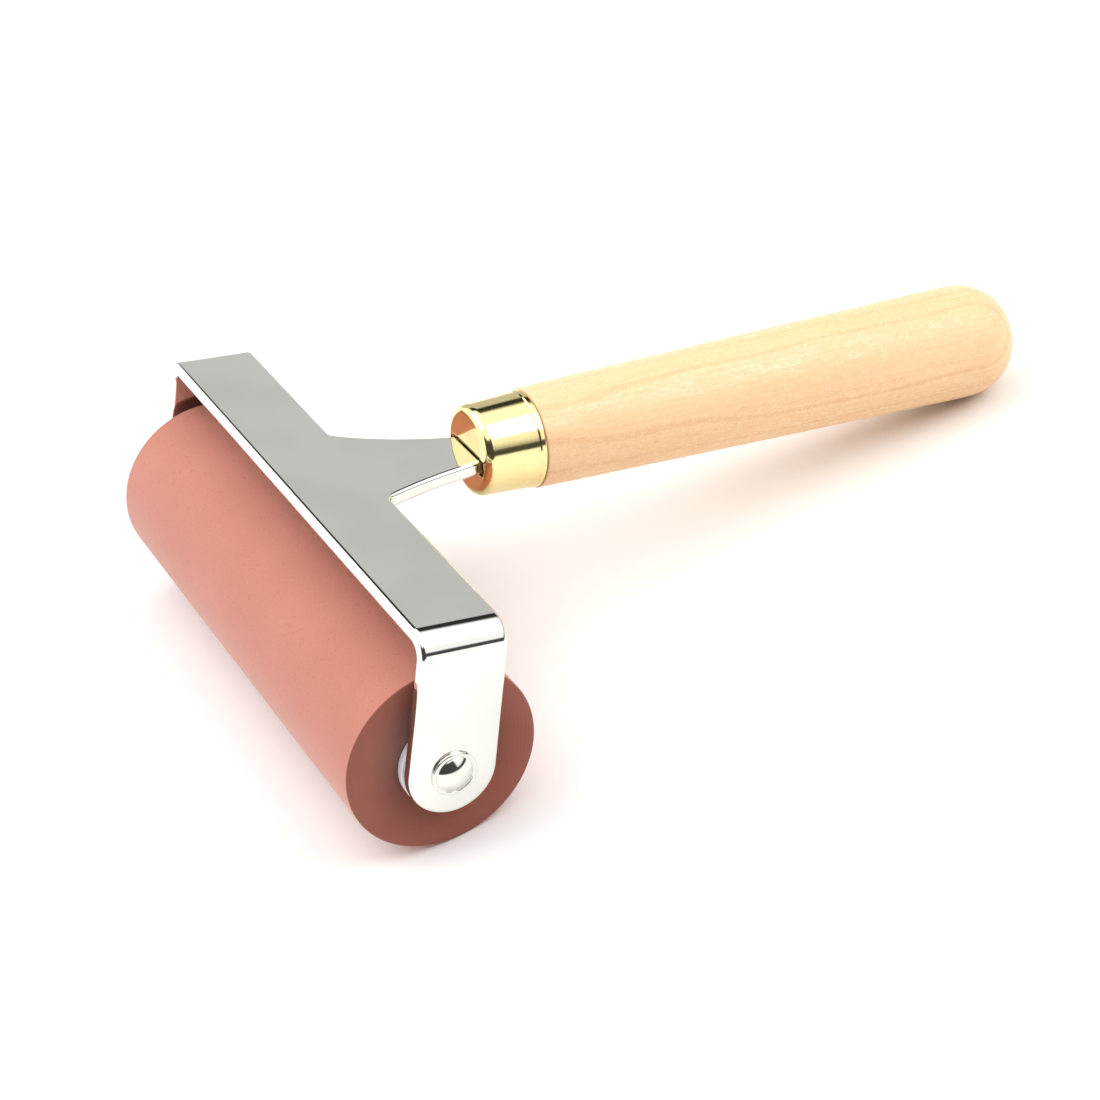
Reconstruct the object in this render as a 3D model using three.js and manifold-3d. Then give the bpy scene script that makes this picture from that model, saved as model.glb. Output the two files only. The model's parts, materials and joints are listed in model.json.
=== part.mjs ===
// Rubber brayer: a printmaker's hand roller. A bent steel frame carries a rubber roller that
// turns on a riveted axle. The frame's tongue runs through a brass ferrule into a turned
// wooden handle. Millimetres, +Z up. The tool stands on its roller and on the butt of its
// handle: the handle runs along +X, the axle along Y.

import * as THREE from 'three';
import { mergeVertices } from 'three/addons/utils/BufferGeometryUtils.js';
import Module from 'manifold-3d';

const wasm = await Module();
wasm.setup();

// ---- Driving dimensions -------------------------------------------------------------------

// Roller
const roller_length = 100;
const roller_radius = 16.4;
const rubber_edge_chamfer = 0.4;
const core_outer_radius = 7.0;
const core_wall = 1.2;
const core_recess = 0.4; // the core tube's ends sit this far inside the rubber's end faces

// Bushes
const bush_flange_radius = 7.7;
const bush_spigot_length = 10;
const bush_spigot_chamfer = 0.6;
const bush_flange_chamfer = 0.25;

// Axle
const axle_radius = 3.0;
const head_radius = 4.0;
const head_height = 1.7;
const head_rim_height = 0.5;

// Frame
const sheet_thickness = 2.65;
const end_gap = 1.75; // between the roller's end face and the ear
const plate_clearance = 6.05; // between the roller and the plate's underside
const bend_radius = 4.5; // outside of the bend
const plate_front = 6.4; // the plate's front edge, ahead of the axle
const plate_rear = 8.3; // the plate's rear edge, behind the axle
const ear_radius = 7.6;

// Tongue and tang, which are one with the frame
const tongue_length = 19.0; // from the plate's rear edge to the ferrule's front face
const tongue_root_left = 14.8;
const tongue_root_right = 9.9;
const tongue_half_width = 5.3; // where it enters the ferrule
const tongue_waist_share = 0.43; // how far along it the sides' curves are pulled in
const left_waist_share = 0.35; // how much of the root's extra width is left there
const right_waist_share = 0.3;
const root_fillet = 0.8;
const handle_pitch = THREE.MathUtils.degToRad(3.0);
const tang_half_width = 3.2;
const tang_tip_half_width = 2.0;
const tang_length = 45;
const tang_point_length = 5;

// Ferrule
const ferrule_length = 11.2;
const ferrule_front_radius = 8.0;
const ferrule_back_radius = 8.5;
const ferrule_wall = 0.8;
const ferrule_rim_radius = 1.0; // rounding between its front face and its side
const ferrule_bead_width = 1.2;
const ferrule_bead_height = 0.12;
const slot_side_room = 1.1; // the slot is this much longer than the tongue is wide, each side

// Handle
const handle_length = 99.5; // the bare wood, from the ferrule's end to the butt
const handle_neck_step = 0.3; // the wood stands this much proud of the ferrule
const handle_butt_radius = 10.45;
const handle_butt_length = 10.7;
const handle_butt_power = 2.2; // 2 is an ellipse, more is blunter
const handle_swell_power = 0.9;
const handle_rise = 0.75; // the handle's axis above the middle of the tongue

// Clearances
const fit_gap = 0.3; // between pieces that rest on each other or pass through each other
const press_gap = 0.1; // between the rubber, the core and the bushes
const running_gap = 0.1; // between the bush and the axle
const side_play = 0.25; // between each bush flange and its ear

// Facets
const roller_facets = 80;
const turned_facets = 56;
const arc_facets = 10;

// ---- Dimensions that follow ---------------------------------------------------------------

const roller_half = roller_length / 2;
const ear_inner = roller_half + end_gap;
const ear_outer = ear_inner + sheet_thickness;
const plate_top = roller_radius + plate_clearance + sheet_thickness;
const plate_bottom = plate_top - sheet_thickness;
const inner_bend_radius = bend_radius - sheet_thickness;
const ear_top = plate_top - bend_radius;
const core_inner_radius = core_outer_radius - core_wall;
const core_half = roller_half - core_recess;
const bush_flange_thickness = end_gap - side_play - press_gap;
const ferrule_front = tongue_length;
const ferrule_back = ferrule_front + ferrule_length;
const tongue_shoulder = ferrule_front + ferrule_wall + fit_gap;
const tang_end = tongue_shoulder + tang_length;
const tang_corner = Math.hypot(tang_half_width, sheet_thickness / 2 + handle_rise);
const tang_bore_radius = tang_corner + fit_gap;
const neck_front = tongue_shoulder + fit_gap;
const bore_end = tang_end + fit_gap;
const handle_end = ferrule_back + handle_length;
const handle_neck_radius = ferrule_back_radius + handle_neck_step;
const butt_start = handle_length - handle_butt_length;

// ---- Materials ----------------------------------------------------------------------------

const finish = {
  plated_steel: { color: 0xcfd1cc, roughness: 0.12, metalness: 1 },
  bright_steel: { color: 0xdcdcd8, roughness: 0.18, metalness: 1 },
  core_steel: { color: 0x8f9194, roughness: 0.45, metalness: 1 },
  brass: { color: 0xdcc47a, roughness: 0.12, metalness: 1 },
  beech: { color: 0xf0c896, roughness: 0.5, metalness: 0 },
  rubber: { color: 0xc98576, roughness: 0.7, metalness: 0 },
  nylon: { color: 0xe6e6ea, roughness: 0.4, metalness: 0 },
};

const piece = (name, geometry, look) => {
  const mesh = new THREE.Mesh(geometry, new THREE.MeshStandardMaterial(finish[look]));
  mesh.name = name;
  return mesh;
};

// ---- Solids -------------------------------------------------------------------------------

const point = (x, y) => new THREE.Vector2(x, y);

// A closed mesh as a solid that can be joined and cut. Triangles that shrink to a line where
// a turned profile meets its axis are left out.
const solid = (geometry) => {
  const bare = geometry.clone();
  bare.deleteAttribute('normal');
  bare.deleteAttribute('uv');
  const merged = mergeVertices(bare, 1e-5);
  const corners = merged.index.array;
  const kept = [];
  for (let i = 0; i < corners.length; i += 3) {
    const [a, b, c] = corners.slice(i, i + 3);
    if (a !== b && b !== c && c !== a) kept.push(a, b, c);
  }
  return new wasm.Manifold(new wasm.Mesh({
    numProp: 3,
    vertProperties: new Float32Array(merged.attributes.position.array),
    triVerts: new Uint32Array(kept),
  }));
};

const geometryOf = (manifold) => {
  const mesh = manifold.getMesh();
  const geometry = new THREE.BufferGeometry();
  geometry.setAttribute('position', new THREE.BufferAttribute(mesh.vertProperties, 3));
  geometry.setIndex(new THREE.BufferAttribute(mesh.triVerts, 1));
  geometry.computeVertexNormals();
  return geometry;
};

// A profile of (radius, height) points turned about Y, the outside running upwards.
const turned = (profile, facets = turned_facets) => new THREE.LatheGeometry(profile, facets);

// The same, turned about X: heights become distances along the handle.
const turnedAlongX = (profile, facets = turned_facets) => (
  turned(profile, facets).rotateZ(-Math.PI / 2)
);

// An outline pushed through from the first plane to the second: across Y for an outline
// drawn in X and Z, along X for one drawn in Y and Z, and up for one drawn in X and Y.
const pushed = (shape, depth) => new THREE.ExtrudeGeometry(shape, {
  depth,
  bevelEnabled: false,
  curveSegments: arc_facets,
});

const axis_x = new THREE.Vector3(1, 0, 0);
const axis_y = new THREE.Vector3(0, 1, 0);
const axis_z = new THREE.Vector3(0, 0, 1);

const acrossY = (shape, width) => pushed(shape, width)
  .translate(0, 0, -width / 2)
  .applyMatrix4(new THREE.Matrix4().makeBasis(axis_x, axis_z, axis_y.clone().negate()));

const alongX = (shape, start, end) => pushed(shape, end - start)
  .translate(0, 0, start)
  .applyMatrix4(new THREE.Matrix4().makeBasis(axis_y, axis_z, axis_x));

const upZ = (shape, thickness) => pushed(shape, thickness).translate(0, 0, -thickness / 2);

// ---- Roller -------------------------------------------------------------------------------

// A sleeve between two radii, with its outer edges chamfered.
const sleeve = (inner, outer, half, chamfer, facets) => turned([
  point(inner, -half),
  point(outer - chamfer, -half),
  point(outer, -half + chamfer),
  point(outer, half - chamfer),
  point(outer - chamfer, half),
  point(inner, half),
  point(inner, -half),
], facets);

// A flanged bush about Y: its flange stands outside the roller, its spigot inside the core.
const bush = () => {
  const bore = axle_radius + running_gap;
  const spigot = core_inner_radius - press_gap;
  const flange_outer = bush_flange_thickness;
  return turned([
    point(bore, -bush_spigot_length),
    point(spigot - bush_spigot_chamfer, -bush_spigot_length),
    point(spigot, -bush_spigot_length + bush_spigot_chamfer),
    point(spigot, 0),
    point(bush_flange_radius, 0),
    point(bush_flange_radius, flange_outer - bush_flange_chamfer),
    point(bush_flange_radius - bush_flange_chamfer, flange_outer),
    point(bore, flange_outer),
    point(bore, -bush_spigot_length),
  ]);
};

const roller = new THREE.Group();
roller.add(
  piece(
    'rubber_cover',
    sleeve(
      core_outer_radius + press_gap,
      roller_radius,
      roller_half,
      rubber_edge_chamfer,
      roller_facets,
    ),
    'rubber',
  ),
  piece(
    'core_tube',
    sleeve(core_inner_radius, core_outer_radius, core_half, 0, turned_facets),
    'core_steel',
  ),
);
for (const [side, direction] of [['left', 1], ['right', -1]]) {
  const mesh = piece(`bush_${side}`, bush(), 'nylon');
  mesh.rotation.x = direction > 0 ? 0 : Math.PI;
  mesh.position.y = direction * (roller_half + press_gap);
  roller.add(mesh);
}

// ---- Axle ---------------------------------------------------------------------------------

// The rod and its two domed heads. The dome is an arc from the rim to the middle of the head.
const axleProfile = () => {
  const seat = ear_outer + fit_gap;
  const rim = seat + head_rim_height;
  const dome_height = head_height - head_rim_height;
  const dome = (side) => Array.from({ length: arc_facets }, (_, i) => {
    const angle = (i / arc_facets) * (Math.PI / 2);
    return point(head_radius * Math.cos(angle), side * (rim + dome_height * Math.sin(angle)));
  });
  return [
    point(0, -rim - dome_height),
    ...dome(-1).reverse(),
    point(head_radius, -seat),
    point(axle_radius, -seat),
    point(axle_radius, seat),
    point(head_radius, seat),
    ...dome(1),
    point(0, rim + dome_height),
  ];
};

const axle = piece('axle', turned(axleProfile()), 'bright_steel');

// ---- Frame --------------------------------------------------------------------------------

// The bent strip seen along the handle: a plate over the roller and an ear at each end, with
// the bends as quarter circles.
const stripOutline = () => {
  const bottom = -ear_radius - 1;
  const shape = new THREE.Shape();
  shape.moveTo(-ear_outer, bottom);
  shape.lineTo(-ear_inner, bottom);
  shape.lineTo(-ear_inner, plate_bottom - inner_bend_radius);
  shape.absarc(
    -ear_inner + inner_bend_radius, plate_bottom - inner_bend_radius, inner_bend_radius,
    Math.PI, Math.PI / 2, true,
  );
  shape.lineTo(ear_inner - inner_bend_radius, plate_bottom);
  shape.absarc(
    ear_inner - inner_bend_radius, plate_bottom - inner_bend_radius, inner_bend_radius,
    Math.PI / 2, 0, true,
  );
  shape.lineTo(ear_inner, bottom);
  shape.lineTo(ear_outer, bottom);
  shape.lineTo(ear_outer, ear_top);
  shape.absarc(ear_outer - bend_radius, ear_top, bend_radius, 0, Math.PI / 2, false);
  shape.lineTo(-ear_outer + bend_radius, plate_top);
  shape.absarc(-ear_outer + bend_radius, ear_top, bend_radius, Math.PI / 2, Math.PI, false);
  shape.closePath();
  return shape;
};

// The same strip seen along the axle: round at the foot, as wide as the plate at the top.
const earOutline = () => {
  const above = plate_top + 1;
  const shape = new THREE.Shape();
  shape.moveTo(-plate_front, above);
  shape.lineTo(-plate_front, ear_top);
  shape.lineTo(-ear_radius, 0);
  shape.absarc(0, 0, ear_radius, Math.PI, 2 * Math.PI, false);
  shape.lineTo(plate_rear, ear_top);
  shape.lineTo(plate_rear, above);
  shape.closePath();
  return shape;
};

// The tongue and its tang seen from above, from the plate's rear edge along the handle. The
// tongue's sides are hollow curves, the left one the wider.
const tongueOutline = () => {
  const overlap = 0.4;
  const waist = tongue_length * tongue_waist_share;
  const left_extra = (tongue_root_left - tongue_half_width) * left_waist_share;
  const right_extra = (tongue_root_right - tongue_half_width) * right_waist_share;
  const shape = new THREE.Shape();
  shape.moveTo(-overlap, -tongue_root_right);
  shape.lineTo(0, -tongue_root_right);
  shape.quadraticCurveTo(
    waist, -tongue_half_width - right_extra,
    tongue_length, -tongue_half_width,
  );
  shape.lineTo(tongue_shoulder, -tongue_half_width);
  shape.lineTo(tongue_shoulder, -tang_half_width);
  shape.lineTo(tang_end - tang_point_length, -tang_half_width);
  shape.lineTo(tang_end, -tang_tip_half_width);
  shape.lineTo(tang_end, tang_tip_half_width);
  shape.lineTo(tang_end - tang_point_length, tang_half_width);
  shape.lineTo(tongue_shoulder, tang_half_width);
  shape.lineTo(tongue_shoulder, tongue_half_width);
  shape.lineTo(tongue_length, tongue_half_width);
  shape.quadraticCurveTo(
    waist, tongue_half_width + left_extra,
    root_fillet, tongue_root_left - root_fillet / 2,
  );
  shape.quadraticCurveTo(0, tongue_root_left, 0, tongue_root_left + root_fillet);
  shape.lineTo(-overlap, tongue_root_left + root_fillet);
  shape.closePath();
  return shape;
};

// The handle's own frame: X along the tongue, Z = 0 in the middle of the sheet.
const handleFrame = new THREE.Matrix4()
  .makeTranslation(plate_rear, 0, plate_top - sheet_thickness / 2)
  .multiply(new THREE.Matrix4().makeRotationY(-handle_pitch));

const frameGeometry = () => {
  const strip = solid(alongX(stripOutline(), -2 * ear_radius, 2 * plate_rear));
  const ears = solid(acrossY(earOutline(), 3 * ear_outer));
  const tongue = solid(upZ(tongueOutline(), sheet_thickness).applyMatrix4(handleFrame));
  const hole_radius = axle_radius + fit_gap;
  const hole = solid(turned([
    point(0, -2 * ear_outer),
    point(hole_radius, -2 * ear_outer),
    point(hole_radius, 2 * ear_outer),
    point(0, 2 * ear_outer),
  ]));
  return geometryOf(strip.intersect(ears).add(tongue).subtract(hole));
};

const frame = piece('yoke_frame', frameGeometry(), 'plated_steel');

// ---- Handle -------------------------------------------------------------------------------

// The ferrule: a thin cup whose front is closed but for the slot that the tongue fills.
const ferruleGeometry = () => {
  const front = ferrule_front;
  const back = ferrule_back;
  const bead = ferrule_back_radius + ferrule_bead_height;
  const rim = Array.from({ length: arc_facets + 1 }, (_, i) => {
    const angle = (i / arc_facets) * (Math.PI / 2);
    return point(
      ferrule_front_radius - ferrule_rim_radius * (1 - Math.sin(angle)),
      front + ferrule_rim_radius * (1 - Math.cos(angle)),
    );
  });
  const cup = solid(turnedAlongX([
    point(0, front),
    ...rim,
    point(ferrule_back_radius, back - ferrule_bead_width),
    point(bead, back - ferrule_bead_width / 2),
    point(bead, back),
    point(ferrule_back_radius - ferrule_wall, back),
    point(ferrule_front_radius - ferrule_wall, front + ferrule_wall),
    point(0, front + ferrule_wall),
  ]));
  const slot_half = tongue_half_width + slot_side_room;
  const slot_height = sheet_thickness + 2 * fit_gap;
  const slot = solid(
    new THREE.BoxGeometry(4 * ferrule_wall, 2 * slot_half, slot_height)
      .translate(front, 0, -handle_rise),
  );
  return geometryOf(cup.subtract(slot));
};

// The bare wood's radius at a distance from the ferrule's end: a slow swell towards the butt,
// then a blunt round end.
const handleRadius = (distance) => {
  if (distance <= butt_start) {
    const swell = handle_butt_radius - handle_neck_radius;
    return handle_neck_radius + swell * (distance / butt_start) ** handle_swell_power;
  }
  const along = (distance - butt_start) / handle_butt_length;
  const power = handle_butt_power;
  return handle_butt_radius * Math.max(0, 1 - along ** power) ** (1 / power);
};

// Points down the outside of the wood, close together where the butt turns in.
const handleOutline = () => {
  const shaft_steps = 8;
  const butt_steps = 9;
  const shaft = Array.from({ length: shaft_steps }, (_, i) => (butt_start * i) / shaft_steps);
  const butt = Array.from({ length: butt_steps + 1 }, (_, i) => (
    butt_start + handle_butt_length * Math.sin((i / butt_steps) * (Math.PI / 2))
  ));
  return [...shaft, ...butt].map((distance) => (
    point(handleRadius(distance), ferrule_back + fit_gap + distance)
  ));
};

// The wood, with the neck that the ferrule fits over and the bore that holds the tang.
const woodGeometry = () => {
  const front_radius = ferrule_front_radius - ferrule_wall - fit_gap;
  const back_radius = ferrule_back_radius - ferrule_wall - fit_gap;
  return turnedAlongX([
    point(0, bore_end),
    point(tang_bore_radius, bore_end),
    point(tang_bore_radius, neck_front),
    point(front_radius, neck_front),
    point(back_radius, ferrule_back + fit_gap),
    ...handleOutline(),
  ]);
};

const handle = new THREE.Group();
handle.applyMatrix4(handleFrame);
const ferrule = piece('brass_ferrule', ferruleGeometry(), 'brass');
const wood = piece('wood_handle', woodGeometry(), 'beech');
ferrule.position.z = handle_rise;
wood.position.z = handle_rise;
handle.add(ferrule, wood);

// ---- Standing on roller and butt ----------------------------------------------------------

// The lowest point of the wood, above the floor that the roller stands on, once the tool is
// turned about its axle by an angle.
const buttHeight = (tilt) => {
  const heights = handleOutline().map(({ x: radius, y: along }) => {
    const low = new THREE.Vector3(along, 0, handle_rise - radius).applyMatrix4(handleFrame);
    return roller_radius - low.x * Math.sin(tilt) + low.z * Math.cos(tilt);
  });
  return Math.min(...heights);
};

// The tilt that brings the butt down to the floor, found by halving.
const restingTilt = () => {
  let [up, down] = [0, Math.PI / 2.5];
  for (let i = 0; i < 40; i += 1) {
    const middle = (up + down) / 2;
    if (buttHeight(middle) > 0) up = middle;
    else down = middle;
  }
  return up;
};

const brayer = new THREE.Group();
brayer.add(roller, axle, frame, handle);
brayer.rotation.y = restingTilt();
brayer.updateMatrixWorld(true);

// The origin is under the middle of the tool, on the floor.
const box = new THREE.Box3().setFromObject(brayer, true);
brayer.position.set(-(box.min.x + box.max.x) / 2, 0, -box.min.z);
brayer.updateMatrixWorld(true);

export default brayer;
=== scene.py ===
import json
import math

import bmesh
import bpy
import numpy as np
from mathutils import Matrix, Vector


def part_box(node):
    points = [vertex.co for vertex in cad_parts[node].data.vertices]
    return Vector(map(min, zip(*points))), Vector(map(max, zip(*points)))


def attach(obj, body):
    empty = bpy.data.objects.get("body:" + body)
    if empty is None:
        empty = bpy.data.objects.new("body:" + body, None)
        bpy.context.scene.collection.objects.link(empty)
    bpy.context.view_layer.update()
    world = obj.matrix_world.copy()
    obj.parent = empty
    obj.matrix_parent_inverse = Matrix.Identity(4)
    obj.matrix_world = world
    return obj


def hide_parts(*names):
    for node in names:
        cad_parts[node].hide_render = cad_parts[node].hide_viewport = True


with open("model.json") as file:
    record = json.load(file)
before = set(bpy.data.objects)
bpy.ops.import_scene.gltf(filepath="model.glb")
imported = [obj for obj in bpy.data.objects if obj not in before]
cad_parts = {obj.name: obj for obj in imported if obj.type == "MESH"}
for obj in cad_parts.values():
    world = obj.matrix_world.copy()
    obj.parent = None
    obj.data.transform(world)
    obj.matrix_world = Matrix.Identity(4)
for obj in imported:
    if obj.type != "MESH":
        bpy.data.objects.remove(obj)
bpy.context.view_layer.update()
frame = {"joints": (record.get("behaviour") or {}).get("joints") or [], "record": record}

# The looks of a rubber brayer: a roller in a bent steel yoke, on a wooden handle with a brass
# ferrule. Shapes are worked out in the tool's own frame, in millimetres: X along the plate
# from the roller towards the handle, Y along the axle, Z square to the plate, with the origin
# in the middle of the axle. stand() then tilts them onto the floor, in metres.

# ---- Sizes, in millimetres -------------------------------------------------------------------

MM = 0.001


def node_size(node):
    """Length, width and height of a CAD node, in millimetres."""
    low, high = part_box(node)
    return [(h - l) / MM for l, h in zip(low, high)]


axle_centre = Vector(frame["joints"][0]["pos_m"])
plate_normal = Vector(frame["record"]["mounts"][0]["axis"])
tilt = math.atan2(plate_normal.x, plate_normal.z)

roller_radius = node_size("rubber_cover")[2] / 2
roller_half = node_size("rubber_cover")[1] / 2
core_radius = node_size("core_tube")[2] / 2
core_half = node_size("core_tube")[1] / 2
core_wall = 1.2
press_gap = 0.1  # between the rubber, the core and the bushes
rubber_edge = 0.3
tube_edge = 0.15

ear_outer = node_size("yoke_frame")[1] / 2
ear_radius = 7.6
sheet = 2.65
plate_top = 25.1  # above the middle of the axle
plate_front = 6.4  # ahead of the axle
plate_rear = 8.3  # behind the axle
bend_radius = 4.5  # outside of the bend
edge_roll = 0.75  # radius on the sheet's rolled edges
flat_margin = 0.08  # a narrow flat strip along them

tongue_length = 19.0
tongue_root_left = 14.8
tongue_root_right = 9.9
tongue_half = 5.3  # half its width where it enters the ferrule
tongue_fillet = 0.8
waist_share = 0.43  # how far along it the sides are pulled in
left_waist_share = 0.35  # how much of the root's extra width is left there
right_waist_share = 0.3
tang_half = 3.2
tang_step = 4.2
tang_end = 64.5  # from the plate's rear edge
tang_tip = 5.0
handle_pitch = math.radians(3.0)
fold_stretch = 1.5  # the tongue turns up to that pitch over this length
handle_rise = 0.75  # the handle's axis above the middle of the tongue

ferrule_back = 30.2  # from the plate's rear edge
ferrule_front_radius = 8.0
ferrule_back_radius = 8.5
ferrule_wall = 0.8
ferrule_rim = 1.5  # rounding between its front and its side
bead_height = 0.12
bead_width = 1.0
bead_slope = 0.25
slot_half = 6.4
slot_half_height = 1.62

axle_radius = 3.0
head_radius = 4.0
head_inset = 0.12  # how much smaller the shaped head is than the CAD's
dome_inset = 0.8
dome_rise = 0.45  # the dome's foot above the ear
dome_angle = math.radians(49)
crown_rise = 0.14  # the shoulder round the dome, above the dome's foot
bush_radius = node_size("bush_left")[2] / 2
bush_bore = 3.1
bush_flange = 1.4
bush_spigot = 10.0

handle_length = 99.5
handle_bore = 4.1  # room for the tang
spigot_gap = 0.02
handle_neck_radius = 8.8
handle_butt_radius = 10.45
handle_butt_length = 10.7
handle_butt_power = 2.2  # 2 is an ellipse, more is blunter
handle_swell_power = 0.9

# ---- Placing ---------------------------------------------------------------------------------


def stand(points):
    """Tool frame in millimetres to the floor frame in metres: turned by the tilt about Y."""
    x, y, z = np.moveaxis(np.asarray(points, float), -1, 0)
    cos, sin = math.cos(tilt), math.sin(tilt)
    turned = np.stack([x * cos + z * sin, y, z * cos - x * sin], -1)
    return turned * MM + np.array(axle_centre)


def from_handle(points):
    """Handle frame to tool frame: X starts at the plate's rear edge and is pitched up."""
    x, y, z = np.moveaxis(np.asarray(points, float), -1, 0)
    cos, sin = math.cos(handle_pitch), math.sin(handle_pitch)
    middle = plate_top - sheet / 2
    return np.stack([plate_rear + x * cos - z * sin, y, middle + x * sin + z * cos], -1)


# ---- Surfaces --------------------------------------------------------------------------------


def skin(name, grid, wrap=(False, True), own=None):
    """A closed surface over a grid of points (rows, columns, 3) in metres.

    Neighbouring points make one quad. A wrapped direction joins its last line to its first.
    The UV map is the share of the way along the columns and the rows. own holds each point's
    place in the piece's own frame, kept as the attribute "own".
    """
    rows, columns = grid.shape[:2]
    i, j = np.meshgrid(
        np.arange(rows if wrap[0] else rows - 1),
        np.arange(columns if wrap[1] else columns - 1),
        indexing="ij",
    )
    corners = [(i, j), (i, j + 1), (i + 1, j + 1), (i + 1, j)]
    faces = np.stack([(a % rows) * columns + b % columns for a, b in corners], -1)
    uv = np.stack([np.stack([b / columns, a / rows], -1) for a, b in corners], -2)
    mesh = bpy.data.meshes.new(name)
    mesh.from_pydata(grid.reshape(-1, 3).tolist(), [], faces.reshape(-1, 4).tolist())
    mesh.uv_layers.new(name="UVMap").data.foreach_set("uv", uv.astype(np.float32).ravel())
    if own is not None:
        mark = mesh.attributes.new("own", "FLOAT_VECTOR", "POINT")
        mark.data.foreach_set("vector", np.asarray(own, np.float32).ravel())
    work = bmesh.new()
    work.from_mesh(mesh)
    bmesh.ops.remove_doubles(work, verts=work.verts, dist=2e-7)
    bmesh.ops.recalc_face_normals(work, faces=work.faces)
    work.to_mesh(mesh)
    work.free()
    mesh.shade_smooth()
    piece = bpy.data.objects.new(name, mesh)
    bpy.context.scene.collection.objects.link(piece)
    return piece


def rounded(corners, steps=8, hold=0.06):
    """A path through corners (x, y, radius), each corner with a radius turned into an arc.

    The arc touches both sides at radius / tan(half the corner's angle) from the corner. A
    point `hold` before and after it keeps the flat stretches flat when they are shaded.
    """
    points = np.array([c[:2] for c in corners], float)
    path = []
    for k, corner in enumerate(corners):
        radius = corner[2] if len(corner) > 2 else 0
        if not radius:
            path.append(points[k])
            continue
        before = points[k - 1] - points[k]
        after = points[(k + 1) % len(corners)] - points[k]
        before /= np.linalg.norm(before)
        after /= np.linalg.norm(after)
        half = math.acos(np.clip(before @ after, -1, 1)) / 2
        reach = radius / math.tan(half)
        bisector = (before + after) / np.linalg.norm(before + after)
        centre = points[k] + bisector * radius / math.sin(half)
        start = points[k] + before * reach - centre
        end = points[k] + after * reach - centre
        sweep = math.pi - 2 * half
        share = np.linspace(0, 1, steps + 1)[:, None]
        arc = (np.sin((1 - share) * sweep) * start + np.sin(share * sweep) * end) / math.sin(sweep)
        path.append(centre + start + before * hold)
        path.extend(centre + arc)
        path.append(centre + end + after * hold)
    return np.array(path)


def circle_of(radius, height, facets):
    """Points (height, radius sin a, radius cos a) for each profile point and each angle a."""
    angle = np.arange(facets) * 2 * np.pi / facets
    r, h = np.asarray(radius)[:, None], np.asarray(height)[:, None]
    return np.stack([h + 0 * angle, r * np.sin(angle), r * np.cos(angle)], -1)


def turned_on_axle(name, profile, facets=160, closed=True):
    """A profile of (radius, distance along the axle) turned about the axle."""
    height, across, up = np.moveaxis(circle_of(profile[:, 0], profile[:, 1], facets), -1, 0)
    own = np.stack([across, height, up], -1)
    return skin(name, stand(own), (closed, True), own * MM)


def turned_on_handle(name, profile, facets=160, closed=True):
    """A profile of (radius, distance along the handle) turned about the handle's axis."""
    own = circle_of(profile[:, 0], profile[:, 1], facets)
    placed = own + np.array([0, 0, handle_rise])
    return skin(name, stand(from_handle(placed)), (closed, True), own * MM)


# ---- Materials -------------------------------------------------------------------------------


class Value:
    """A number from a node. Sums on it add Math nodes."""

    def __init__(self, look, socket):
        self.look = look
        self.socket = socket

    def do(self, operation, *others):
        inputs = dict(enumerate((self, *others)))
        node = self.look.add("ShaderNodeMath", {"operation": operation}, inputs)
        return Value(self.look, node.outputs[0])

    def __add__(self, other):
        return self.do("ADD", other)

    __radd__ = __add__

    def __mul__(self, other):
        return self.do("MULTIPLY", other)

    __rmul__ = __mul__

    def __sub__(self, other):
        return self.do("SUBTRACT", other)

    def __rsub__(self, other):
        return (self * -1) + other

    def __truediv__(self, other):
        return self.do("DIVIDE", other)

    def __pow__(self, other):
        return self.do("POWER", other)

    def sine(self):
        return self.do("SINE")

    def clamped(self, low=0.0, high=1.0):
        return self.do("MAXIMUM", low).do("MINIMUM", high)

    def step(self, start, end):
        """0 below start, 1 above end, smooth between."""
        inputs = {"Value": self, "From Min": start, "From Max": end}
        settings = {"interpolation_type": "SMOOTHSTEP"}
        node = self.look.add("ShaderNodeMapRange", settings, inputs)
        return Value(self.look, node.outputs["Result"])


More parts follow.
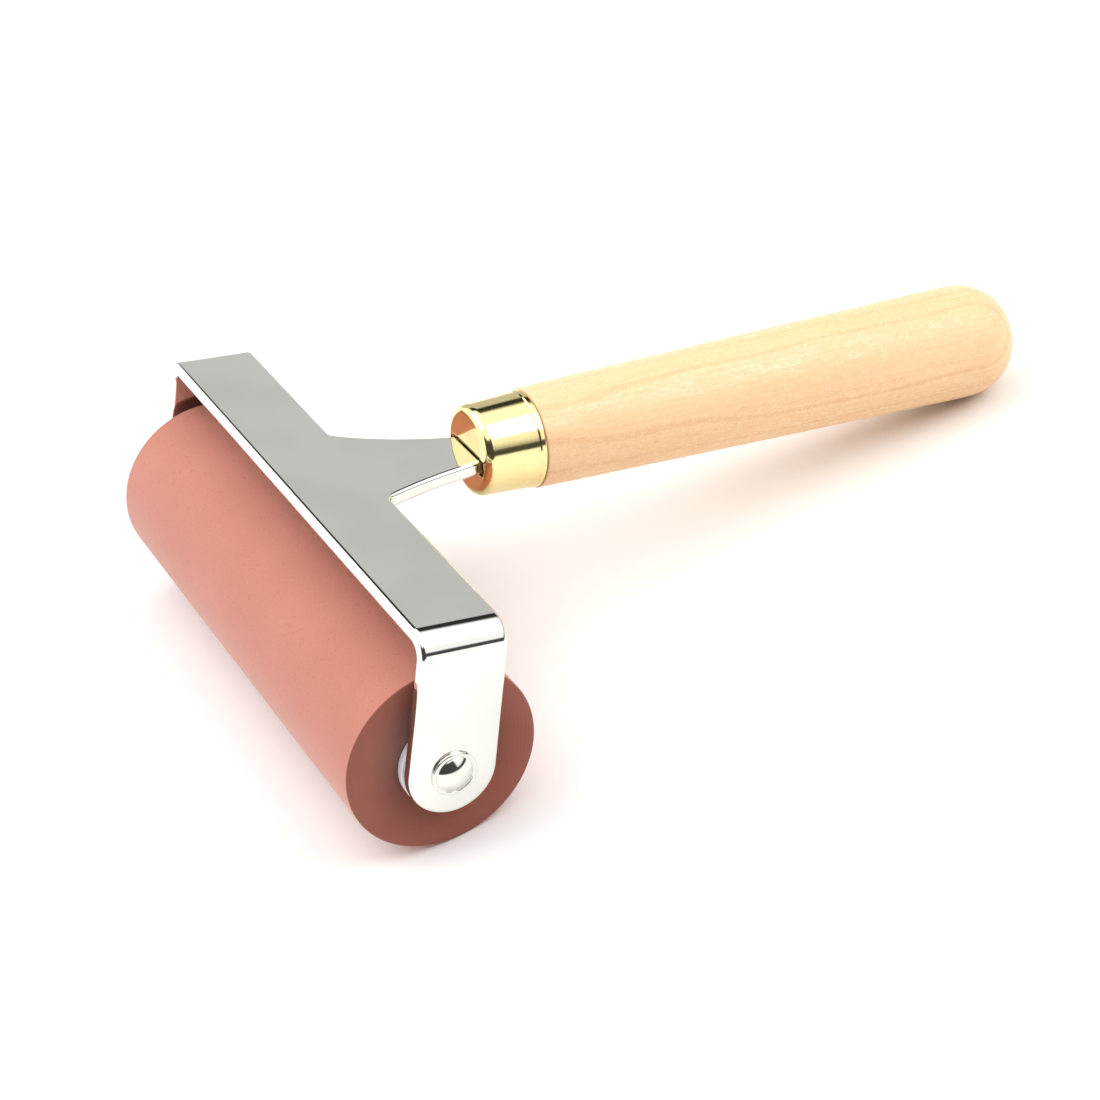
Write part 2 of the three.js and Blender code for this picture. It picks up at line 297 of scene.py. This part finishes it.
class Look:
    """A node tree being built: a material, or the world."""

    def __init__(self, name, world=False):
        data = bpy.data.worlds.new(name) if world else bpy.data.materials.new(name)
        data.use_nodes = True
        self.data = data
        self.tree = data.node_tree
        self.tree.nodes.clear()

    def add(self, kind, settings=None, inputs=None):
        """Any node: its settings first, then a value or a link for each named socket."""
        node = self.tree.nodes.new(kind)
        for key, setting in (settings or {}).items():
            setattr(node, key, setting)
        for key, source in (inputs or {}).items():
            self.feed(node.inputs[key], source)
        return node

    def feed(self, socket, source):
        if isinstance(source, Value):
            source = source.socket
        if isinstance(source, bpy.types.NodeSocket):
            self.tree.links.new(source, socket)
        else:
            socket.default_value = source

    def own(self):
        """Each point's place in the piece's own frame, in metres."""
        settings = {"attribute_name": "own", "attribute_type": "GEOMETRY"}
        return self.add("ShaderNodeAttribute", settings).outputs["Vector"]

    def parts_of(self, vector):
        node = self.add("ShaderNodeSeparateXYZ", {}, {"Vector": vector})
        return [Value(self, socket) for socket in node.outputs]

    def stretched(self, vector, scale):
        settings = {"operation": "MULTIPLY"}
        return self.add("ShaderNodeVectorMath", settings, {0: vector, 1: scale}).outputs[0]

    def noise(self, vector, scale, detail=3.0, roughness=0.5, distortion=0.0):
        inputs = {
            "Vector": vector, "Scale": scale, "Detail": detail,
            "Roughness": roughness, "Distortion": distortion,
        }
        return Value(self, self.add("ShaderNodeTexNoise", {}, inputs).outputs["Fac"])

    def mix(self, share, first, second):
        """Two colours mixed by a share."""
        inputs = {0: share, 6: first, 7: second}
        return self.add("ShaderNodeMix", {"data_type": "RGBA"}, inputs).outputs[2]

    def bump(self, height, distance, strength=1.0):
        inputs = {"Height": height, "Distance": distance, "Strength": strength}
        return self.add("ShaderNodeBump", {}, inputs).outputs["Normal"]

    def finish(self, inputs):
        """The surface shader and the output. Returns the material."""
        shader = self.add("ShaderNodeBsdfPrincipled", {}, inputs)
        output = self.add("ShaderNodeOutputMaterial")
        self.tree.links.new(shader.outputs[0], output.inputs["Surface"])
        return self.data


def opaque(red, green, blue):
    """A screen colour, 0 to 255, as linear light with no transparency."""
    share = np.array([red, green, blue]) / 255
    linear = np.where(share <= 0.04045, share / 12.92, ((share + 0.055) / 1.055) ** 2.4)
    return (*linear.tolist(), 1.0)


def rubber_look():
    """Salmon rubber, ground matt: a fine grain, faint rings from the grinding, dust-fine specks.

    The end faces are a deeper brown, painted shade for faces turned away from the light, and carry
    the arcs of the knife.
    """
    look = Look("roller rubber")
    own = look.own()
    grain = look.noise(own, 4200, 2.0, 0.6)
    cloud = look.noise(own, 55, 4.0, 0.55)
    rings = look.noise(look.stretched(own, (60, 3800, 60)), 1.0, 2.0, 0.5)
    tone = (cloud * 0.4 + grain * 0.6).step(0.3, 0.7)
    side = look.mix(tone, opaque(181, 109, 89), opaque(193, 121, 104))
    # Painted shade: the end faces get a darker brown than the sides, standing in for the shade on
    # faces that turn away from the light.
    end = look.mix(tone, opaque(137, 69, 52), opaque(147, 78, 61))
    across, along, up = look.parts_of(own)
    edge = roller_half * MM
    from_middle = (along * along) ** 0.5
    # The mask for the end faces carries their painted shade in the colour and the knife arcs in the
    # bump.
    end_face = from_middle.step(edge - 0.0003, edge - 0.0001)
    base = look.mix(end_face, side, end)
    specks = look.noise(own, 1500, 1.0).step(0.66, 0.74) * 0.35
    base = look.mix(specks, base, opaque(150, 88, 74))
    arcs = (((across + 0.03) ** 2.0 + up * up) ** 0.5 * 9000).sine() * 0.5 + 0.5
    height = grain * 0.6 + rings * 0.4 * (1 - end_face) + arcs * 0.25 * end_face
    return look.finish({
        "Base Color": base,
        "Roughness": (0.62 + grain * 0.2).clamped(),
        "Specular IOR Level": 0.5,
        "Sheen Weight": 0.25,
        "Sheen Roughness": 0.5,
        "Normal": look.bump(height, 0.00004, 0.55),
    })


def chrome_look():
    """Polished plate: almost a mirror, with the faint waves of the sheet and hairline wipes."""
    look = Look("yoke chrome")
    place = look.add("ShaderNodeTexCoord").outputs["Object"]
    waves = look.noise(place, 70, 2.0, 0.4)
    wipes = look.noise(look.stretched(place, (900, 60, 900)), 1.0, 3.0, 0.6)
    peel = look.noise(place, 900, 1.0, 0.5)
    tone = look.mix(waves.step(0.3, 0.7), opaque(222, 222, 216), opaque(229, 229, 224))
    return look.finish({
        "Base Color": tone,
        "Metallic": 1.0,
        "Roughness": (0.045 + wipes * 0.05).clamped(),
        "Normal": look.bump(waves * 0.75 + peel * 0.02, 0.00006, 0.35),
    })


def rivet_look():
    """Bright plated steel, turned: fine rings about the axle."""
    look = Look("axle steel")
    own = look.own()
    across, _, up = look.parts_of(own)
    reach = (across * across + up * up) ** 0.5
    rings = (reach * 42000).sine() * 0.5 + 0.5
    cloud = look.noise(own, 500, 2.0)
    return look.finish({
        "Base Color": look.mix(cloud, opaque(218, 217, 210), opaque(230, 229, 222)),
        "Metallic": 1.0,
        "Roughness": (0.06 + rings * 0.03 + cloud * 0.04).clamped(),
        "Normal": look.bump(rings * 0.2 + cloud, 0.00001, 0.4),
    })


def core_look():
    """Drawn steel tube with lengthwise draw lines."""
    look = Look("core steel")
    own = look.own()
    lines = look.noise(look.stretched(own, (2500, 40, 2500)), 1.0, 3.0)
    return look.finish({
        "Base Color": look.mix(lines, opaque(150, 151, 154), opaque(176, 177, 179)),
        "Metallic": 1.0,
        "Roughness": (0.35 + lines * 0.2).clamped(),
        "Normal": look.bump(lines, 0.00003, 0.5),
    })


def nylon_look():
    """Natural white nylon: a little see-through, satin, with turning rings."""
    look = Look("bush nylon")
    own = look.own()
    across, _, up = look.parts_of(own)
    reach = (across * across + up * up) ** 0.5
    rings = (reach * 16000).sine() * 0.5 + 0.5
    cloud = look.noise(own, 300, 3.0)
    return look.finish({
        "Base Color": look.mix(cloud, opaque(226, 227, 233), opaque(240, 240, 244)),
        "Roughness": (0.38 + cloud * 0.12).clamped(),
        "Subsurface Weight": 0.25,
        "Subsurface Radius": (0.0012, 0.0012, 0.0012),
        "Normal": look.bump(rings * 0.5 + cloud * 0.5, 0.00002, 0.4),
    })


def brass_look():
    """Polished brass, spun: hairlines round the ferrule, a faint tarnish in patches."""
    look = Look("ferrule brass")
    own = look.own()
    hairs = look.noise(look.stretched(own, (9000, 120, 120)), 1.0, 2.0, 0.6)
    cloud = look.noise(own, 160, 4.0, 0.6)
    tarnish = cloud.step(0.5, 0.8) * 0.5
    base = look.mix(tarnish, opaque(240, 224, 164), opaque(222, 194, 122))
    return look.finish({
        "Base Color": base,
        "Metallic": 1.0,
        "Roughness": (0.07 + hairs * 0.06 + tarnish * 0.08).clamped(),
        "Normal": look.bump(hairs * 0.5 + cloud * 0.4, 0.00003, 0.3),
    })


def wood_look():
    """Pale turned wood.

    Growth rings are cylinders about a far pith that runs a little askew, so the turned surface
    cuts them into long streaks. On them lie fibres, short pores along the grain, and ray
    flecks across it, which are smoother and catch the light.
    """
    look = Look("handle wood")
    own = look.own()
    warp = look.noise(look.stretched(own, (11, 34, 34)), 1.0, 3.0, 0.55)
    along, side, up = look.parts_of(own)
    from_pith_y = side + 0.052 + along * 0.03
    from_pith_z = up - 0.038 + along * 0.055
    reach = (from_pith_y * from_pith_y + from_pith_z * from_pith_z) ** 0.5
    ring = (reach + warp * 0.006) * 300 + 0.45
    late = (ring * (2 * math.pi)).sine().step(0.8, 1.0)
    fibre = look.noise(look.stretched(own, (38, 2300, 2300)), 1.0, 3.0, 0.6)
    pore = look.noise(look.stretched(own, (420, 5200, 5200)), 1.0, 2.0, 0.5).step(0.64, 0.74)
    fleck = look.noise(look.stretched(own, (750, 1250, 1250)), 1.0, 2.0, 0.5, 1.6)
    fleck = fleck.step(0.5, 0.62)
    broad = look.noise(look.stretched(own, (12, 80, 80)), 1.0, 3.0, 0.5)
    base = look.mix(broad.step(0.2, 0.8), opaque(244, 199, 149), opaque(249, 208, 162))
    base = look.mix(late * broad * 0.6, base, opaque(226, 166, 116))
    base = look.mix(fibre.step(0.35, 0.75) * 0.34, base, opaque(228, 180, 128))
    base = look.mix(fleck * 0.22, base, opaque(253, 230, 194))
    base = look.mix(pore * 0.4, base, opaque(196, 146, 100))
    height = fibre * 0.4 - pore * 0.5 + fleck * 0.45
    return look.finish({
        "Base Color": base,
        "Roughness": (0.48 + fibre * 0.1 - fleck * 0.22).clamped(),
        "Specular IOR Level": 0.5,
        "Coat Weight": (0.06 + fleck * 0.3).clamped(),
        "Coat Roughness": 0.28,
        "Normal": look.bump(height, 0.00006, 0.5),
    })


def dress(piece, material, body, slot, *nodes):
    """Gives a piece its material and its body, and hides the CAD nodes it stands for. Its record
    slot is not used.
    """
    piece.data.materials.append(material)
    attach(piece, body)
    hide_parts(*nodes)


# ---- Roller ----------------------------------------------------------------------------------


def make_roller():
    bore = core_radius + press_gap
    rubber = rounded([
        (bore, -roller_half),
        (roller_radius, -roller_half, rubber_edge),
        (roller_radius, roller_half, rubber_edge),
        (bore, roller_half),
    ], steps=5)
    cover = turned_on_axle("rubber_roller", rubber, facets=224)
    dress(cover, rubber_look(), "roller", "roller_rubber", "rubber_cover")

    inner = core_radius - core_wall
    tube = rounded([
        (inner, -core_half, tube_edge),
        (core_radius, -core_half, tube_edge),
        (core_radius, core_half, tube_edge),
        (inner, core_half, tube_edge),
    ], steps=3)
    core = turned_on_axle("steel_core", tube, facets=96)
    dress(core, core_look(), "roller", "core_steel", "core_tube")

    nylon = nylon_look()
    spigot = core_radius - core_wall - press_gap
    for side, node in ((1, "bush_left"), (-1, "bush_right")):
        seat = roller_half + press_gap
        profile = rounded([
            (bush_bore, seat - bush_spigot),
            (spigot, seat - bush_spigot, 0.5),
            (spigot, seat),
            (bush_radius, seat, 0.12),
            (bush_radius, seat + bush_flange, 0.3),
            (bush_bore, seat + bush_flange, 0.2),
        ], steps=4)
        profile[:, 1] *= side
        dress(
            turned_on_axle(f"nylon_{node}", profile, facets=128),
            nylon, "roller", "bush_nylon", node,
        )


# ---- Axle ------------------------------------------------------------------------------------


def head_profile():
    """Half of the axle: the rod, then a head with a round shoulder, a crease and a dome.

    The dome is the cap of a sphere, from its half angle down to 0 on the axis.
    """
    dome_foot = head_radius - dome_inset
    dome_base = ear_outer + dome_rise
    sphere = dome_foot / math.sin(dome_angle)
    angle = np.linspace(dome_angle, 0, 18)
    dome = np.stack([
        sphere * np.sin(angle),
        dome_base + sphere * (np.cos(angle) - math.cos(dome_angle)),
    ], -1)
    rim = head_radius - head_inset
    crown = dome_base + crown_rise
    shoulder = rounded([
        (axle_radius, ear_outer - 2),
        (axle_radius, ear_outer),
        (rim - 0.1, ear_outer),
        (rim, ear_outer + 0.1, 0.08),
        (rim, crown, 0.36),
        (dome_foot + 0.1, crown, 0.1),
        (dome_foot, dome_base),
    ], steps=6, hold=0.02)
    return np.vstack([[[axle_radius, 0]], shoulder, dome[1:]])


def make_axle():
    half = head_profile()
    profile = np.vstack([half[::-1] * [1, -1], half[1:]])
    axle = turned_on_axle("riveted_axle", profile, facets=144, closed=False)
    dress(axle, rivet_look(), "yoke", "axle_steel", "axle")


# ---- Yoke ------------------------------------------------------------------------------------

bend_mid = bend_radius - sheet / 2
plate_half = ear_outer - bend_radius
ear_top = plate_top - bend_radius
bend_length = bend_mid * math.pi / 2
ear_start = plate_half + bend_length
ear_centre = ear_start + ear_top


def curve(start, control, end, steps):
    """A quadratic curve: (1-t)^2 start + 2t(1-t) control + t^2 end, without its first point."""
    t = np.linspace(0, 1, steps + 1)[1:, None]
    a, b, c = (np.array(p, float) for p in (start, control, end))
    return (1 - t) ** 2 * a + 2 * t * (1 - t) * b + t ** 2 * c


def line(start, end, steps):
    """Evenly spaced points from start to end, without the first."""
    t = np.linspace(0, 1, steps + 1)[1:, None]
    return np.array(start, float) * (1 - t) + np.array(end, float) * t


def ear_edge(reach):
    """One long edge of the flat strip, from the ear's tip to the plate: (along, across).

    A quarter circle about the axle, a straight that widens to the plate's edge, and the bend.
    """
    angle = np.linspace(0, math.pi / 2, 25)[:, None]
    direction = math.copysign(1, reach)
    arc = np.hstack([
        ear_centre + ear_radius * np.cos(angle),
        direction * ear_radius * np.sin(angle),
    ])
    straight = line(arc[-1], (ear_start, reach), 8)
    bend = line((ear_start, reach), (plate_half, reach), 36)
    return np.vstack([arc, straight, bend])


def tongue_side(root, share):
    """One side of the tongue and tang, from the plate's rear edge to the middle of the tip.

    Points are (along the strip, across it); the second grows towards the handle. root is the
    half width at the plate, and share says how much of what it loses is left at the waist.
    """
    front = plate_rear + tongue_length
    waist = plate_rear + tongue_length * waist_share
    waist_half = tongue_half + (root - tongue_half) * share
    shoulder = front + ferrule_wall + 0.4
    step = (tang_step, shoulder + 1.6)
    tang = (tang_half, shoulder + 3.4)
    tip = plate_rear + tang_end
    tip_start = (tang_half, tip - tang_tip)
    start = (root + tongue_fillet, plate_rear)
    foot = (root - tongue_fillet / 2, plate_rear + tongue_fillet)
    return np.vstack([
        line((plate_half, plate_rear), start, 6),
        curve(start, (root, plate_rear), foot, 6),
        curve(foot, (waist_half, waist), (tongue_half, front), 22),
        line((tongue_half, front), (tongue_half, shoulder), 2),
        curve((tongue_half, shoulder), (tongue_half, shoulder + 1), step, 4),
        curve(step, (tang_half, shoulder + 2), tang, 4),
        line(tang, tip_start, 6),
        curve(tip_start, (tang_half, tip), (0, tip), 10),
    ])


def inward(outline):
    """The inward direction at each point of a closed outline, lengthened at its corners.

    It is square to the mean of the two sides that meet there, so an offset keeps its distance.
    """
    ahead = np.roll(outline, -1, 0) - outline
    ahead /= np.linalg.norm(ahead, axis=1, keepdims=True)
    behind = np.roll(ahead, 1, 0)
    mean = ahead + behind
    mean /= np.linalg.norm(mean, axis=1, keepdims=True)
    square = np.stack([-mean[:, 1], mean[:, 0]], -1)
    side = np.stack([-ahead[:, 1], ahead[:, 0]], -1)
    lengthen = 1 / np.clip((square * side).sum(1, keepdims=True), 0.7, 1)
    centre = outline.mean(0)
    area = np.cross(outline - centre, np.roll(outline, -1, 0) - centre).sum()
    return square * lengthen * math.copysign(1, area)


def bent(along, across, height):
    """Flat sheet to tool frame. The strip bends down at both ends and the tongue is pitched.

    Within a bend a point goes round the bend's centre at the middle radius plus its height.
    Past the plate's rear edge the sheet turns up to the handle's pitch over a short stretch:
    there the angle grows evenly, so the rise is half the stretch's share of the full slope.
    """
    reach = np.abs(along)
    angle = np.clip((reach - plate_half) / bend_mid, 0, math.pi / 2)
    radius = bend_mid + height
    y = np.sign(along) * (np.minimum(reach, plate_half) + radius * np.sin(angle))
    z = ear_top + radius * np.cos(angle) - np.maximum(reach - ear_start, 0)
    past = np.maximum(across - plate_rear, 0)
    pitch = handle_pitch * np.clip(past / fold_stretch, 0, 1)
    level = np.minimum(past, fold_stretch)
    rise = level ** 2 / (2 * fold_stretch) + past - level
    x = across - height * np.sin(pitch)
    return np.stack([x, y, z + rise * math.tan(handle_pitch) - height * (1 - np.cos(pitch))], -1)


def make_yoke():
    """The yoke as one closed section round the sheet, carried along the strip.

    Each column crosses the sheet from the front edge to the rear edge, which runs out round
    the tongue and the tang. Its rows go over a rolled edge, across the top, over the other
    edge and back underneath, with height and inset on the edge following a quarter circle.
    """
    front_half = ear_edge(-plate_front)
    rear_half = ear_edge(plate_rear)
    left = tongue_side(tongue_root_left, left_waist_share)
    right = tongue_side(tongue_root_right, right_waist_share)
    rear = np.vstack([rear_half, left, (right * [-1, 1])[::-1][1:], (rear_half * [-1, 1])[::-1]])
    gather = 0.8  # the front edge's points draw in behind the tongue's, by up to this share
    narrow = 1 - gather * (rear[:, 1] - plate_rear) / tang_end
    count = len(front_half)
    front = np.stack([rear[:, 0] * narrow, np.full(len(rear), -plate_front)], -1)
    front[:count] = front_half
    front[-count:] = (front_half * [-1, 1])[::-1]

    outline = np.vstack([front, rear[::-1][1:-1]])
    inset = inward(outline)
    front_in = inset[:len(front)]
    rear_in = np.vstack([inset[:1], inset[len(front):][::-1], inset[len(front) - 1:len(front)]])

    top = sheet / 2
    depth = edge_roll + flat_margin
    turn = np.linspace(0, math.pi / 2, 8)
    roll = [(0.0, (top - edge_roll) * 0.8)]
    roll += [(edge_roll * (1 - math.cos(a)), top - edge_roll * (1 - math.sin(a))) for a in turn]
    roll += [(depth, top)]
    front_flat = front + front_in * depth
    rear_flat = rear + rear_in * depth
    lead = 0.07
    plate_end = np.minimum(rear_flat[:, 1], plate_rear - depth)
    start = front_flat * lead + np.stack([front_flat[:, 0], plate_end], -1) * (1 - lead)
    run = rear_flat - start

    def crossing(share, limit):
        """The point a share of the way to the rear edge, but not past the limit."""
        reach = np.minimum(share, (limit - start[:, 1]) / np.maximum(run[:, 1], 1e-6))
        return start + run * reach[:, None]

    flat = [(front + front_in * d, h) for d, h in roll]
    flat += [(front_flat + (start - front_flat) * s, top) for s in (0.25, 0.5, 0.75, 1.0)]
    limits = [plate_rear + fold_stretch * s for s in (0, 1 / 3, 2 / 3, 1)] + [math.inf]
    flat += [(crossing(s, limit), top) for s, limit in zip((0.3, 0.45, 0.6, 0.75, 0.88), limits)]
    flat += [(rear + rear_in * d, h) for d, h in roll[::-1]]
    section = flat + [(points, -height) for points, height in flat[::-1]]
    grid = np.stack([bent(p[:, 0], p[:, 1], h) for p, h in section])
    yoke = skin("bent_yoke", stand(grid), (True, False))
    dress(yoke, chrome_look(), "yoke", "yoke_chrome", "yoke_frame")


# ---- Handle ----------------------------------------------------------------------------------


def make_ferrule(facets=192):
    """A cup round the handle's axis whose front face runs in to the outline of the slot.

    Each row blends from the slot's outline, a squared oval |y/a|^6 + |z/b|^6 = 1, to a circle.
    """
    angle = np.arange(facets) * 2 * np.pi / facets
    across, up = np.sin(angle), np.cos(angle)
    squared = 1 / 3
    slot = np.stack([
        slot_half * np.sign(across) * np.abs(across) ** squared,
        slot_half_height * np.sign(up) * np.abs(up) ** squared - handle_rise,
    ], -1)
    ring = np.stack([across, up], -1)
    front, back = tongue_length, ferrule_back
    face = ferrule_front_radius - ferrule_rim
    bead_radius = ferrule_back_radius + bead_height
    lip = 0.08
    profile = rounded([
        (front, face),
        (front, ferrule_front_radius, ferrule_rim),
        (back - bead_width - bead_slope, ferrule_back_radius, 0.2),
        (back - bead_width, bead_radius, 0.2),
        (back, bead_radius, 0.28),
        (back, ferrule_back_radius - ferrule_wall, 0.1),
        (front + ferrule_wall, ferrule_front_radius - ferrule_wall, 0.3),
    ], steps=7, hold=0.03)[1:]
    rows = [(front + ferrule_wall, slot), (front + lip, slot), (front + 0.02, slot + ring * 0.02)]
    rows += [(front, slot * (1 - s) + ring * (face - 0.05) * s) for s in (0.06, 0.12, 0.4, 0.7, 1)]
    rows += [(x, ring * r) for x, r in profile]
    inner = ring * (ferrule_front_radius - ferrule_wall - 0.6)
    rows += [(front + ferrule_wall, slot * (1 - s) + inner * s) for s in (1.0, 0.5)]
    own = np.stack([np.hstack([np.full((facets, 1), x), edge]) for x, edge in rows])
    grid = stand(from_handle(own + np.array([0, 0, handle_rise])))
    ferrule = skin("brass_cup", grid, (True, True), own * MM)
    dress(ferrule, brass_look(), "yoke", "ferrule_brass", "brass_ferrule")


def make_handle():
    """The wood: a slow swell, r = neck + (butt - neck) s^0.9, and a blunt oval butt."""
    start = ferrule_back + 0.05
    butt_start = handle_length - handle_butt_length
    swell = np.linspace(0, 1, 40)[1:]
    shaft = np.stack([
        handle_neck_radius + (handle_butt_radius - handle_neck_radius) * swell ** handle_swell_power,
        start + swell * butt_start,
    ], -1)
    turn = np.linspace(0, math.pi / 2, 34)[1:]
    along = np.sin(turn)
    power = handle_butt_power
    butt = np.stack([
        handle_butt_radius * np.maximum(1 - along ** power, 0) ** (1 / power),
        start + butt_start + handle_butt_length * along,
    ], -1)
    spigot_back = ferrule_back_radius - ferrule_wall - spigot_gap
    spigot_front = ferrule_front_radius - ferrule_wall - spigot_gap
    spigot_end = tongue_length + ferrule_wall + 0.6
    root = rounded([
        (0, tang_end + 1),
        (handle_bore, tang_end + 1),
        (handle_bore, spigot_end),
        (spigot_front, spigot_end, 0.3),
        (spigot_back, start),
        (handle_neck_radius, start, 0.25),
        tuple(shaft[0]),
    ], steps=5)
    profile = np.vstack([root, shaft[1:], butt])
    handle = turned_on_handle("turned_handle", profile, facets=176, closed=False)
    dress(handle, wood_look(), "yoke", "handle_wood", "wood_handle")


# ---- Stage -----------------------------------------------------------------------------------


def make_floor():
    look = Look("floor paper")
    place = look.add("ShaderNodeTexCoord").outputs["Object"]
    cloud = look.noise(place, 6.0, 2.0)
    material = look.finish({
        "Base Color": look.mix(cloud, (0.90, 0.90, 0.90, 1), (0.92, 0.92, 0.92, 1)),
        "Roughness": 0.9,
        "Specular IOR Level": 0.1,
    })
    reach = 3.0
    mesh = bpy.data.meshes.new("floor")
    corners = [(-reach, -reach, 0), (reach, -reach, 0), (reach, reach, 0), (-reach, reach, 0)]
    mesh.from_pydata(corners, [], [(0, 1, 2, 3)])
    mesh.materials.append(material)
    floor = bpy.data.objects.new("floor", mesh)
    bpy.context.scene.collection.objects.link(floor)


def make_world():
    """A light tent, by direction.

    A bright roof, a white wall on the left, a bright panel with a lamp in it on the right that
    stops short of the floor, and a grey wall behind with a dark gap over it. The rest is dim.
    Polished steel and brass show these as bands.
    """
    look = Look("light tent", world=True)
    direction = look.add("ShaderNodeTexCoord").outputs["Generated"]
    x, y, z = look.parts_of(direction)
    level = (x * x + y * y + 0.0001) ** 0.5

    def facing(across, along, start, end):
        """1 where the direction's level part points along (across, along), 0 where it doesn't."""
        return ((x * across + y * along) / level).step(start, end)

    behind = facing(0.5, 0.866, 0.76, 0.82)
    right = facing(0.927, -0.375, 0.66, 0.76) * (1 - behind)
    left = facing(-0.819, 0.574, 0.66, 0.76) * (1 - behind)
    lamp = (x * 0.60 - y * 0.40 + z * 0.69).step(0.93, 0.96)
    roof = z.step(0.68, 0.76)
    wall = behind * (1 - z.step(0.47, 0.53))
    panels = (right * z.step(0.16, 0.24) + left) * (1 - roof)
    dim = 0.03 + (1 - behind) * 0.04
    strength = roof * 1.45 + wall * 0.645 + panels * 1.15 + left * 0.25 + lamp * 3.0 + dim
    background = look.add("ShaderNodeBackground", {}, {
        "Color": (1, 0.995, 0.98, 1), "Strength": strength,
    })
    output = look.add("ShaderNodeOutputWorld")
    look.tree.links.new(background.outputs[0], output.inputs["Surface"])
    bpy.context.scene.world = look.data


def add_light(name, place, aim, size, watts):
    data = bpy.data.lights.new(name, "AREA")
    data.shape = "RECTANGLE"
    data.size, data.size_y = size
    data.energy = watts
    light = bpy.data.objects.new(name, data)
    light.location = place
    light.rotation_euler = (Vector(aim) - Vector(place)).to_track_quat("-Z", "Y").to_euler()
    bpy.context.scene.collection.objects.link(light)


def make_camera():
    """The camera looks down its own axis at the tool, rolled a little about it."""
    azimuth, elevation, roll = (math.radians(a) for a in (-20.08, 35.44, -13.16))
    distance = 0.4903
    aim = Vector((-0.0195, -0.0019, 0.0081))
    back = Vector((
        math.sin(azimuth) * math.cos(elevation),
        -math.cos(azimuth) * math.cos(elevation),
        math.sin(elevation),
    ))
    level = Vector((math.cos(azimuth), math.sin(azimuth), 0))
    up = back.cross(level)
    right = level * math.cos(roll) + up * math.sin(roll)
    top = back.cross(right)
    data = bpy.data.cameras.new("camera")
    data.sensor_width = 36
    data.lens = 90.85
    camera = bpy.data.objects.new("camera", data)
    camera.matrix_world = Matrix.Translation(aim + back * distance) @ (
        Matrix((right, top, back)).transposed().to_4x4()
    )
    bpy.context.scene.collection.objects.link(camera)
    bpy.context.scene.camera = camera


make_camera()
make_floor()
make_world()
add_light("key", (-0.55, 0.45, 1.05), (0, 0, 0), (1.1, 1.1), 5)
make_roller()
make_axle()
make_yoke()
make_ferrule()
make_handle()
bpy.context.scene.view_settings.view_transform = "Standard"
